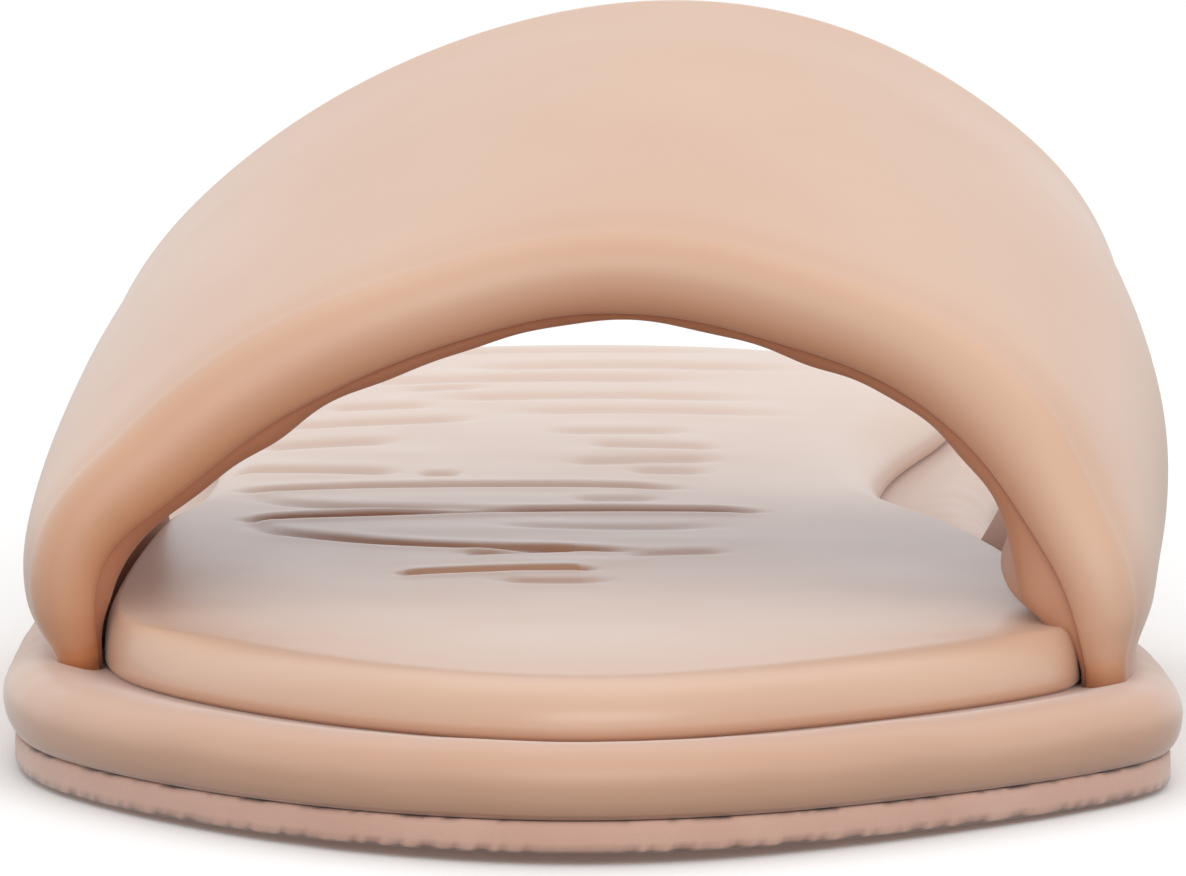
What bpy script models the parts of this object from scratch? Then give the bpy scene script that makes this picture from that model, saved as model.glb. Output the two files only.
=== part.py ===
"""A padded slide sandal for the right foot, as a maker would assemble it: outsole, wrapped
midsole, padded footbed and one wide padded strap over the forefoot.

Metres, +Z up. The toe points to -Y, the inner (medial) side of the foot is +X, and the
origin is on the floor, under the middle of the sandal.
"""

import bmesh
import bpy
import numpy as np

# Overall sizes of the sandal, measured over the midsole, which is its widest piece
SHOE_LENGTH = 0.255
SHOE_WIDTH = 0.0995

# Outsole: a thin rubber sheet, a little narrower than the midsole over it
OUTSOLE_THICKNESS = 0.0026
OUTSOLE_INSET = 0.0010
OUTSOLE_CHAMFER = 0.0004
TOE_SPRING = 0.0007
TOE_SPRING_REACH = 0.045

# Midsole: a board and foam platform wrapped in leather, with a puffy round edge
MIDSOLE_THICKNESS = 0.0060
MIDSOLE_EDGE_ROLL = 0.0032
MIDSOLE_EDGE_TUCK = 0.0016

# Footbed: a soft pad with a rolled edge, set in from the midsole's edge to leave a ledge
LEDGE_WIDTH = 0.0086
FOOTBED_THICKNESS = 0.0039
FOOTBED_EDGE_ROLL = 0.0055
FOOTBED_EDGE_TUCK = 0.0006
FOOTBED_CROWN = 0.0005

# Strap: one padded band that stands on the ledge and arches over the forefoot
STRAP_RISE = 0.0410
STRAP_THICKNESS = 0.0080
STRAP_PUFF = 0.0006

# Glue lines and seams: the space between neighbouring pieces
SEAM = 0.0003

# Outline of the midsole from above, once round, starting at the toe.
# along: share of the length, back from the toe. across: share of half the width, with the
# inner side positive. ledge: share of the ledge's width that is left outside the footbed.
OUTLINE = (
    {"place": "toe tip", "along": 0.000, "across": -0.015, "ledge": 1.00},
    {"place": "big toe", "along": 0.013, "across": 0.240, "ledge": 1.00},
    {"place": "big toe corner", "along": 0.053, "across": 0.535, "ledge": 1.00},
    {"place": "inner toe side", "along": 0.118, "across": 0.872, "ledge": 1.00},
    {"place": "inner toe bend", "along": 0.155, "across": 0.982, "ledge": 1.00},
    {"place": "inner ball, front", "along": 0.187, "across": 1.000, "ledge": 1.00},
    {"place": "inner ball", "along": 0.255, "across": 0.977, "ledge": 1.00},
    {"place": "inner ball, back", "along": 0.345, "across": 0.930, "ledge": 1.00},
    {"place": "inner waist, front", "along": 0.460, "across": 0.824, "ledge": 1.14},
    {"place": "inner waist", "along": 0.585, "across": 0.742, "ledge": 1.20},
    {"place": "inner waist, back", "along": 0.710, "across": 0.795, "ledge": 1.10},
    {"place": "inner heel", "along": 0.840, "across": 0.882, "ledge": 1.00},
    {"place": "inner heel corner", "along": 0.925, "across": 0.780, "ledge": 1.00},
    {"place": "heel, inner back", "along": 0.980, "across": 0.455, "ledge": 1.00},
    {"place": "heel back", "along": 1.000, "across": -0.015, "ledge": 1.00},
    {"place": "heel, outer back", "along": 0.980, "across": -0.440, "ledge": 1.00},
    {"place": "outer heel corner", "along": 0.925, "across": -0.745, "ledge": 1.00},
    {"place": "outer heel", "along": 0.840, "across": -0.868, "ledge": 1.00},
    {"place": "outer waist", "along": 0.630, "across": -0.880, "ledge": 1.04},
    {"place": "outer ball, back", "along": 0.440, "across": -0.950, "ledge": 1.02},
    {"place": "outer ball", "along": 0.270, "across": -1.000, "ledge": 1.00},
    {"place": "little toe", "along": 0.170, "across": -0.957, "ledge": 1.00},
    {"place": "outer toe corner", "along": 0.110, "across": -0.800, "ledge": 1.00},
    {"place": "outer toe", "along": 0.048, "across": -0.530, "ledge": 1.00},
    {"place": "middle toe", "along": 0.010, "across": -0.240, "ledge": 1.00},
)

# Inner face of the strap, which follows the foot, from its outer foot to its inner foot,
# as (along, across, rise) at the band's front edge and at its rear edge.
# along: share of the sandal's length. across: share of the way from the middle line to
# the footbed's side, with the inner side positive. rise: share of the strap's rise.
# thick: share of the strap's thickness. bow: share of the footbed's own curve that the
# band follows between its two edges.
STRAP = (
    {"place": "outer foot", "front": (0.212, -1.000, 0.000), "rear": (0.490, -1.000, 0.000),
     "thick": 0.53, "bow": 1.00},
    {"place": "outer wall", "front": (0.212, -1.005, 0.115), "rear": (0.490, -1.025, 0.145),
     "thick": 0.78, "bow": 1.00},
    {"place": "outer bend", "front": (0.216, -0.970, 0.210), "rear": (0.491, -1.015, 0.305),
     "thick": 0.90, "bow": 0.80},
    {"place": "outer haunch", "front": (0.224, -0.860, 0.300), "rear": (0.493, -0.938, 0.460),
     "thick": 0.98, "bow": 0.50},
    {"place": "outer slope", "front": (0.237, -0.655, 0.445), "rear": (0.495, -0.770, 0.628),
     "thick": 1.02, "bow": 0.20},
    {"place": "outer shoulder", "front": (0.255, -0.330, 0.592), "rear": (0.498, -0.450, 0.845),
     "thick": 1.00, "bow": 0.00},
    {"place": "crown", "front": (0.264, 0.110, 0.667), "rear": (0.500, 0.195, 1.000),
     "thick": 0.98, "bow": 0.00},
    {"place": "inner shoulder", "front": (0.251, 0.430, 0.605), "rear": (0.498, 0.725, 0.940),
     "thick": 1.00, "bow": 0.00},
    {"place": "inner slope", "front": (0.229, 0.670, 0.510), "rear": (0.495, 1.085, 0.790),
     "thick": 1.02, "bow": 0.20},
    {"place": "inner haunch", "front": (0.206, 0.820, 0.375), "rear": (0.491, 1.295, 0.615),
     "thick": 0.98, "bow": 0.65},
    {"place": "inner bend", "front": (0.188, 0.906, 0.250), "rear": (0.486, 1.380, 0.425),
     "thick": 0.90, "bow": 0.95},
    {"place": "inner wall", "front": (0.176, 0.963, 0.130), "rear": (0.481, 1.290, 0.185),
     "thick": 0.78, "bow": 1.00},
    {"place": "inner foot", "front": (0.171, 1.000, 0.000), "rear": (0.478, 1.150, 0.000),
     "thick": 0.53, "bow": 1.00},
)

# Fineness of the faces
SOLE_STATIONS = 44
STRAP_STATIONS = 37
STRAP_COLUMNS = 11
ROLL_STEPS = 6
EDGE_STEPS = 8
OUTLINE_SAMPLES = 4000

# The middle line that the soles' faces run in to stops short of toe and heel, by this
# share of the width
MIDDLE_LINE_STOP = 0.30
RINGS_TO_MIDDLE = (0.35, 0.70, 1.00)

# Smallest distances that tell two corners or two edges apart
SAME_CORNER = 1e-6
FLAT_EDGE = 1e-7
SMOOTH_ANGLE = np.radians(40)

TOE_Y = -SHOE_LENGTH / 2
MIDSOLE_BOTTOM = OUTSOLE_THICKNESS + SEAM
LEDGE_TOP = MIDSOLE_BOTTOM + MIDSOLE_THICKNESS
FOOTBED_BOTTOM = LEDGE_TOP + SEAM


def clear_scene():
    """Removes the objects that the file starts with."""
    for thing in list(bpy.data.objects):
        bpy.data.objects.remove(thing, do_unlink=True)


def make_material(name, colour, roughness):
    """A plain Principled material of one colour."""
    material = bpy.data.materials.new(name)
    material.use_nodes = True
    shader = material.node_tree.nodes["Principled BSDF"]
    shader.inputs["Base Color"].default_value = (*colour, 1.0)
    shader.inputs["Roughness"].default_value = roughness
    shader.inputs["Metallic"].default_value = 0.0
    return material


def unit(vectors):
    """Vectors scaled to a length of one."""
    return vectors / np.linalg.norm(vectors, axis=-1, keepdims=True)


def chord_lengths(points):
    """Running length along a chain of points, starting at 0."""
    steps = np.linalg.norm(np.diff(points, axis=0), axis=1)
    return np.concatenate([[0.0], np.cumsum(steps)])


def spline_slopes(points, steps, closed):
    """Slopes that let the cubic pieces through the points meet with equal curvature."""
    count = len(points)
    system = np.zeros((count, count))
    target = np.zeros_like(points)
    for i in range(count):
        if not closed and i in (0, count - 1):
            first = i == 0
            here, there = (0, 1) if first else (count - 2, count - 1)
            system[i, i] = 2.0
            system[i, 1 if first else count - 2] = 1.0
            target[i] = 3.0 * (points[there] - points[here]) / steps[0 if first else -1]
            continue
        before, after = (i - 1) % count, (i + 1) % count
        step_in, step_out = steps[before], steps[i]
        system[i, before] = 1.0 / step_in
        system[i, i] = 2.0 / step_in + 2.0 / step_out
        system[i, after] = 1.0 / step_out
        target[i] = 3.0 * ((points[i] - points[before]) / step_in**2
                           + (points[after] - points[i]) / step_out**2)
    return np.linalg.solve(system, target)


def spline(points, knots, places, closed=False):
    """Points of a smooth curve that passes each point at its knot, read at the places."""
    steps = np.diff(knots)
    slopes = spline_slopes(points[:-1] if closed else points, steps, closed)
    if closed:
        slopes = np.vstack([slopes, slopes[:1]])
    piece = np.clip(np.searchsorted(knots, places, side="right") - 1, 0, len(steps) - 1)
    step = steps[piece][:, None]
    t = (places - knots[piece])[:, None] / step
    return ((2 * t**3 - 3 * t**2 + 1) * points[piece]
            + (t**3 - 2 * t**2 + t) * step * slopes[piece]
            + (3 * t**2 - 2 * t**3) * points[piece + 1]
            + (t**3 - t**2) * step * slopes[piece + 1])


def toe_lift(y):
    """How far the toe spring raises the sole at this place along the sandal."""
    ahead = np.clip((TOE_Y + TOE_SPRING_REACH - y) / TOE_SPRING_REACH, 0.0, None)
    return TOE_SPRING * ahead**2


class Footprint:
    """The midsole's outline as matching stations down both sides, and its middle line."""

    def __init__(self):
        half = SHOE_WIDTH / 2
        corners = np.array([(row["across"] * half, row["along"] * SHOE_LENGTH, row["ledge"])
                            for row in OUTLINE])
        corners = np.vstack([corners, corners[:1]])
        knots = chord_lengths(corners[:, :2])
        path = spline(corners, knots, np.linspace(0.0, knots[-1], OUTLINE_SAMPLES), closed=True)
        low, high = path[:, :2].min(axis=0), path[:, :2].max(axis=0)
        path[:, :2] = (path[:, :2] - (low + high) / 2) / (high - low) * (SHOE_WIDTH, SHOE_LENGTH)
        path = np.roll(path, -path[:, 1].argmin(), axis=0)
        heel = path[:, 1].argmax()
        inner, outer = path[:heel + 1], np.vstack([path[heel:], path[:1]])[::-1]
        y = TOE_Y * np.cos(np.linspace(0.0, np.pi, SOLE_STATIONS + 1))
        inner_x, inner_ledge = (np.interp(y, inner[:, 1], inner[:, i]) for i in (0, 2))
        outer_x, outer_ledge = (np.interp(y, outer[:, 1], outer[:, i]) for i in (0, 2))
        self.edge = self.both_sides(inner_x, outer_x, y)
        self.ledge = LEDGE_WIDTH * self.both_sides(inner_ledge, outer_ledge, y)[:, 0]
        stop = MIDDLE_LINE_STOP * SHOE_WIDTH
        middle_y = np.clip(y, TOE_Y + stop, -TOE_Y - stop)
        middle_x = np.interp(middle_y, y, (inner_x + outer_x) / 2)
        self.middle = self.both_sides(middle_x, middle_x, middle_y)

    @staticmethod
    def both_sides(inner_x, outer_x, y):
        """One closed ring: down the inner side from the toe, and back up the outer side."""
        inner, outer = np.column_stack([inner_x, y]), np.column_stack([outer_x, y])
        return np.vstack([inner, outer[-2:0:-1]])

    def ring(self, inset, share_to_middle=0.0):
        """The outline moved inwards, and then part of the way on to the middle line."""
        along = np.roll(self.edge, -1, axis=0) - np.roll(self.edge, 1, axis=0)
        inwards = unit(np.column_stack([-along[:, 1], along[:, 0]]))
        moved = self.edge + inwards * np.reshape(inset, (-1, 1))
        return moved * (1 - share_to_middle) + self.middle * share_to_middle

    def footbed_side_x(self, y, inner):
        """Where the strap's foot stands at y: a seam's width clear of the footbed's side."""
        ring = self.ring(self.ledge - SEAM)
        side = ring[:SOLE_STATIONS + 1] if inner else np.roll(ring, -1, axis=0)[:SOLE_STATIONS - 1:-1]
        return np.interp(y, side[:, 1], side[:, 0])


def finish_mesh(shape, name, collection, material):
    """Makes an object of a bmesh: corners merged, faces outwards, round parts smooth."""
    bmesh.ops.remove_doubles(shape, verts=shape.verts, dist=SAME_CORNER)
    bmesh.ops.dissolve_degenerate(shape, edges=shape.edges, dist=FLAT_EDGE)
    bmesh.ops.recalc_face_normals(shape, faces=shape.faces)
    mesh = bpy.data.meshes.new(name)
    shape.to_mesh(mesh)
    shape.free()
    mesh.materials.append(material)
    mesh.shade_smooth()
    mesh.set_sharp_from_angle(angle=SMOOTH_ANGLE)
    thing = bpy.data.objects.new(name, mesh)
    collection.objects.link(thing)
    return thing


def skin_rings(shape, rings):
    """Skins neighbouring closed rings of corners with quads."""
    for lower, upper in zip(rings, rings[1:]):
        for i in range(len(lower)):
            j = (i + 1) % len(lower)
            shape.faces.new((lower[i], lower[j], upper[j], upper[i]))


def make_sole_layer(name, footprint, profile, crown, collection, material):
    """A layer of the sole: its edge profile swept round the outline, closed to the middle.

    profile lists (inset, height) from the bottom face, up the side, to the top face.
    crown is how much higher the top is over the middle line than at its edge.
    """
    shape = bmesh.new()
    rings = []

    def add_ring(flat, height):
        z = height + toe_lift(flat[:, 1])
        rings.append([shape.verts.new((x, y, up)) for (x, y), up in zip(flat, z)])

    add_ring(footprint.middle, profile[0][1])
    for inset, height in profile:
        add_ring(footprint.ring(inset), height)
    last_inset, top = profile[-1]
    for share in RINGS_TO_MIDDLE:
        add_ring(footprint.ring(last_inset, share), top + crown * (1 - (1 - share) ** 2))
    skin_rings(shape, rings)
    return finish_mesh(shape, name, collection, material)


def outsole_profile():
    """A square edge with a small chamfer at the floor."""
    return (
        (OUTSOLE_INSET + OUTSOLE_CHAMFER, 0.0),
        (OUTSOLE_INSET, OUTSOLE_CHAMFER),
        (OUTSOLE_INSET, OUTSOLE_THICKNESS),
    )


def midsole_profile():
    """A bullnose edge between two flat faces, rounder above its middle than below it."""
    half = MIDSOLE_THICKNESS / 2
    profile = []
    for a in np.linspace(-np.pi / 2, np.pi / 2, EDGE_STEPS + 1):
        roll = MIDSOLE_EDGE_TUCK if a < 0 else MIDSOLE_EDGE_ROLL
        profile.append((roll * (1 - np.cos(a)), MIDSOLE_BOTTOM + half * (1 + np.sin(a))))
    return profile


def footbed_profile(ledge):
    """A tucked lower edge, then a quarter of an ellipse up to the top face."""
    tuck = FOOTBED_EDGE_TUCK
    profile = [(ledge + tuck, FOOTBED_BOTTOM)]
    for a in np.linspace(0.0, np.pi / 2, ROLL_STEPS + 1):
        profile.append((ledge + FOOTBED_EDGE_ROLL * (1 - np.cos(a)),
                        FOOTBED_BOTTOM + tuck + (FOOTBED_THICKNESS - tuck) * np.sin(a)))
    return profile


def strap_edge(footprint, edge):
    """Points of the strap's inner face along its front or rear edge, a row for each place."""
    points = []
    for row in STRAP:
        along, across, rise = row[edge]
        y = TOE_Y + along * SHOE_LENGTH
        side = footprint.footbed_side_x(y, inner=across > 0)
        points.append((abs(across) * side, y, FOOTBED_BOTTOM + rise * STRAP_RISE + toe_lift(y)))
    return np.array(points)


def footbed_bow(footprint, inner):
    """How far the footbed's side curves away from the straight line between the strap's
    two edges, at each column of the band."""
    foot = STRAP[-1] if inner else STRAP[0]
    along = np.linspace(foot["front"][0], foot["rear"][0], STRAP_COLUMNS)
    side = footprint.footbed_side_x(TOE_Y + along * SHOE_LENGTH, inner)
    return side - np.linspace(side[0], side[-1], STRAP_COLUMNS)


def strap_face(footprint):
    """The strap's inner face as points [station, column], and its thickness by station."""
    front, rear = strap_edge(footprint, "front"), strap_edge(footprint, "rear")
    knots = chord_lengths((front + rear) / 2)
    places = np.linspace(0.0, knots[-1], STRAP_STATIONS)
    shares = np.array([(row["thick"], row["bow"]) for row in STRAP])
    thick, bow = spline(shares, knots, places).T
    back = np.linspace(0.0, 1.0, STRAP_COLUMNS)[None, :, None]
    front, rear = spline(front, knots, places), spline(rear, knots, places)
    face = front[:, None, :] * (1 - back) + rear[:, None, :] * back
    half = STRAP_STATIONS // 2
    face[:half, :, 0] += bow[:half, None] * footbed_bow(footprint, inner=False)
    face[half:, :, 0] += bow[half:, None] * footbed_bow(footprint, inner=True)
    return face, thick * STRAP_THICKNESS


def round_edge(corner, outwards, away, thick):
    """Half a circle from the inner face's last point round to the outer face's."""
    half = thick / 2
    angles = np.linspace(-np.pi / 2, np.pi / 2, ROLL_STEPS + 1)[1:-1]
    return [corner + half * ((1 + np.sin(a)) * outwards + np.cos(a) * away) for a in angles]


def strap_section(inner_face, outwards, thick):
    """One closed section of the band: inner face, round front, outer face, round rear."""
    puff = STRAP_PUFF * np.sin(np.linspace(0.0, np.pi, STRAP_COLUMNS)) * thick / STRAP_THICKNESS
    outer_face = inner_face + outwards * (thick + puff)[:, None]
    front = round_edge(inner_face[0], outwards[0], unit(inner_face[0] - inner_face[1]), thick)
    rear = round_edge(inner_face[-1], outwards[-1], unit(inner_face[-1] - inner_face[-2]), thick)
    return np.vstack([inner_face[::-1], front, outer_face, rear[::-1]])


def close_foot(shape, ring):
    """Closes one end of the band with quads between its two faces."""
    front_middle = STRAP_COLUMNS + (ROLL_STEPS - 1) // 2
    ordered = ring[front_middle:] + ring[:front_middle]
    for i in range(len(ordered) // 2):
        corners = dict.fromkeys((ordered[i], ordered[i + 1], ordered[-i - 1], ordered[-i]))
        shape.faces.new(tuple(corners))


def make_strap(footprint, collection, material):
    """The padded band, lofted from its outer foot over the crown to its inner foot."""
    face, thick = strap_face(footprint)
    outwards = unit(np.cross(np.gradient(face, axis=0), np.gradient(face, axis=1)))
    shape = bmesh.new()
    rings = []
    for station in range(STRAP_STATIONS):
        at_foot = station in (0, STRAP_STATIONS - 1)
        if at_foot:
            outwards[station, :, 2] = 0.0
            outwards[station] = unit(outwards[station])
        section = strap_section(face[station], outwards[station], thick[station])
        if at_foot:
            section[:, 2] = FOOTBED_BOTTOM + toe_lift(section[:, 1])
        rings.append([shape.verts.new(point) for point in section])
    skin_rings(shape, rings)
    close_foot(shape, rings[0])
    close_foot(shape, rings[-1])
    return finish_mesh(shape, "strap", collection, material)


def main():
    """Builds the four pieces in one collection."""
    clear_scene()
    collection = bpy.data.collections.new("slide_sandal")
    bpy.context.scene.collection.children.link(collection)
    leather = make_material("nude_leather", (0.76, 0.52, 0.36), 0.42)
    lining = make_material("footbed_leather", (0.78, 0.60, 0.50), 0.45)
    rubber = make_material("outsole_rubber", (0.64, 0.42, 0.34), 0.75)
    footprint = Footprint()
    make_sole_layer("outsole", footprint, outsole_profile(), 0.0, collection, rubber)
    make_sole_layer("midsole", footprint, midsole_profile(), 0.0, collection, leather)
    make_sole_layer("footbed", footprint, footbed_profile(footprint.ledge), FOOTBED_CROWN,
                    collection, lining)
    make_strap(footprint, collection, leather)


main()
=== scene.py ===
"""Looks of the padded slide sandal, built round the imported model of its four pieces.

Metres, +Z up, toe towards -Y, the foot's inner side at +X. Each soft piece is made again here
with its seams, creases and puckers, in the place where its plain solid stands.
"""

from __future__ import annotations

import logging
import math
from dataclasses import dataclass
from enum import Enum

import bpy
import numpy as np
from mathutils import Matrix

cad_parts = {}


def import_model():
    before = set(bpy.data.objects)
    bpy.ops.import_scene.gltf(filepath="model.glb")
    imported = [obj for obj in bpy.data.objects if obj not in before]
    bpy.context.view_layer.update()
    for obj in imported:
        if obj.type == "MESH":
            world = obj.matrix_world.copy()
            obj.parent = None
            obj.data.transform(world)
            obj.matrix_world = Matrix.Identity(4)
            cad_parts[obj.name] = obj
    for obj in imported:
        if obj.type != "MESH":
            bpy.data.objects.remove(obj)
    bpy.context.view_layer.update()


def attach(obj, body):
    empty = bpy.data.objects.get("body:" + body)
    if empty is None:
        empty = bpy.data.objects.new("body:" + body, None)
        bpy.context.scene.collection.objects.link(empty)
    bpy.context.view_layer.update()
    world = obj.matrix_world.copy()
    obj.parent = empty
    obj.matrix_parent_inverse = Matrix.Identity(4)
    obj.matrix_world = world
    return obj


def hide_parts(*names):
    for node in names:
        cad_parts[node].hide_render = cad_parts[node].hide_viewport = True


LOG = logging.getLogger("slide_sandal")
MM = 1000.0  # millimetres in a metre

Array = np.ndarray
Socket = bpy.types.NodeSocket
Pair = tuple[float, float]
Triple = tuple[float, float, float]


@dataclass(frozen=True)
class ShoeSizes:
    """The sandal's own sizes, which every piece shares."""

    length: float = 0.255
    width: float = 0.0995
    toe_spring: float = 0.0007
    toe_spring_reach: float = 0.045
    outsole_top: float = 0.0026
    midsole_bottom: float = 0.0027
    ledge_width: float = 0.0086
    pad_bottom: float = 0.0080
    pad_top: float = 0.0131
    pad_crown: float = 0.0005
    strap_base: float = 0.0092
    strap_rise: float = 0.0410
    strap_thickness: float = 0.0080
    seam: float = 0.0003

    @property
    def toe_y(self) -> float:
        """Where the toe's tip lies along the sandal."""
        return -self.length / 2

    def toe_lift(self, y: Array) -> Array:
        """How far the toe spring raises the sole at each y."""
        ahead = np.clip((self.toe_y + self.toe_spring_reach - y) / self.toe_spring_reach, 0, None)
        return self.toe_spring * ahead**2


SIZES = ShoeSizes()


class Slot(Enum):
    """The record's material slots."""

    OUTSOLE = "outsole_rubber"
    MIDSOLE = "midsole_leather"
    FOOTBED = "footbed_leather"
    STRAP = "strap_leather"


# Curves and meshes


def unit(vectors: Array) -> Array:
    """Vectors scaled to a length of one."""
    return vectors / np.linalg.norm(vectors, axis=-1, keepdims=True)


def chord_lengths(points: Array) -> Array:
    """Running length along a chain of points, starting at 0."""
    steps = np.linalg.norm(np.diff(points, axis=0), axis=1)
    return np.concatenate([[0.0], np.cumsum(steps)])


def bump_of(distance: Array, width: float | Array) -> Array:
    """A soft round hump of height one that fades out about twice its width away."""
    return np.exp(-((distance / width) ** 2))


def ease(share: Array) -> Array:
    """A smooth step from 0 to 1."""
    t = np.clip(share, 0.0, 1.0)
    return t * t * (3 - 2 * t)


class Spline:
    """A cubic curve with even curvature through points at given knots."""

    def __init__(self, points: Array, knots: Array, closed: bool = False) -> None:
        """Solves for the slopes.

        Args:
            points: one row for each knot; the last repeats the first on a closed curve.
            knots: running lengths of the points.
            closed: whether the curve joins up.
        """
        self.points, self.knots = points, knots
        self.steps = np.diff(knots)
        slopes = self._slopes(points[:-1] if closed else points, closed)
        self.slopes = np.vstack([slopes, slopes[:1]]) if closed else slopes

    def _slopes(self, points: Array, closed: bool) -> Array:
        """Solves one linear system for the slopes.

        Args:
            points: one row for each knot, without a repeated one.
            closed: whether the curve joins up.

        Returns:
            The slope at each knot.
        """
        count, steps = len(points), self.steps
        system, target = np.zeros((count, count)), np.zeros_like(points)
        for i in range(count):
            if not closed and i in (0, count - 1):
                near = 1 if i == 0 else count - 2
                low = min(i, near)
                system[i, i], system[i, near] = 2.0, 1.0
                target[i] = 3.0 * (points[low + 1] - points[low]) / steps[low]
                continue
            before, after = (i - 1) % count, (i + 1) % count
            step_in, step_out = steps[before], steps[i]
            system[i, before] = 1.0 / step_in
            system[i, i] = 2.0 / step_in + 2.0 / step_out
            system[i, after] = 1.0 / step_out
            target[i] = 3.0 * ((points[i] - points[before]) / step_in**2
                               + (points[after] - points[i]) / step_out**2)
        return np.linalg.solve(system, target)

    def at(self, places: Array) -> Array:
        """Reads the curve.

        Args:
            places: running lengths, as the knots have them.

        Returns:
            One point for each place.
        """
        piece = np.clip(np.searchsorted(self.knots, places, side="right") - 1,
                        0, len(self.steps) - 1)
        step = self.steps[piece][:, None]
        t = (places - self.knots[piece])[:, None] / step
        return ((2 * t**3 - 3 * t**2 + 1) * self.points[piece]
                + (t**3 - 2 * t**2 + t) * step * self.slopes[piece]
                + (3 * t**2 - 2 * t**3) * self.points[piece + 1]
                + (t**3 - t**2) * step * self.slopes[piece + 1])


@dataclass
class Skin:
    """A closed skin over rings of corners, which becomes one object."""

    name: str
    rings: Array
    # painted shade at each corner from 0 to 1, and on the outsole its dirt too
    shade_and_dirt: Array
    inside: Array | None = None

    def build(self, materials: list[bpy.types.Material], closed_ends: bool) -> bpy.types.Object:
        """Makes the object.

        Args:
            materials: the outer finish, and after it the finish of the inside, if it has one.
            closed_ends: whether the first and last rings are flat caps to fill.

        Returns:
            The new object, which rides on the sandal.
        """
        count, around = self.rings.shape[:2]
        lower = np.arange(count - 1)[:, None] * around
        here, there = np.arange(around)[None, :], (np.arange(around)[None, :] + 1) % around
        quads = np.stack([lower + here, lower + there, lower + around + there,
                          lower + around + here], axis=-1).reshape(-1, 4)
        faces = quads.tolist()
        if closed_ends:
            faces.append(list(range(around))[::-1])
            faces.append(list(range((count - 1) * around, count * around)))
        mesh = bpy.data.meshes.new(self.name)
        mesh.from_pydata(self.rings.reshape(-1, 3).tolist(), [], faces)
        for material in materials:
            mesh.materials.append(material)
        shade = mesh.attributes.new("shade_and_dirt", "FLOAT", "POINT")
        shade.data.foreach_set("value", self.shade_and_dirt.reshape(-1).astype(np.float32))
        if self.inside is not None:
            index = np.zeros(len(faces), np.int32)
            index[:len(quads)] = np.tile(self.inside.astype(np.int32), count - 1)
            mesh.polygons.foreach_set("material_index", index)
        mesh.validate()
        mesh.shade_smooth()
        thing = bpy.data.objects.new(self.name, mesh)
        bpy.context.scene.collection.objects.link(thing)
        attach(thing, "root")
        LOG.info("%s: %d faces", self.name, len(faces))
        return thing


# Finishes


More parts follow.
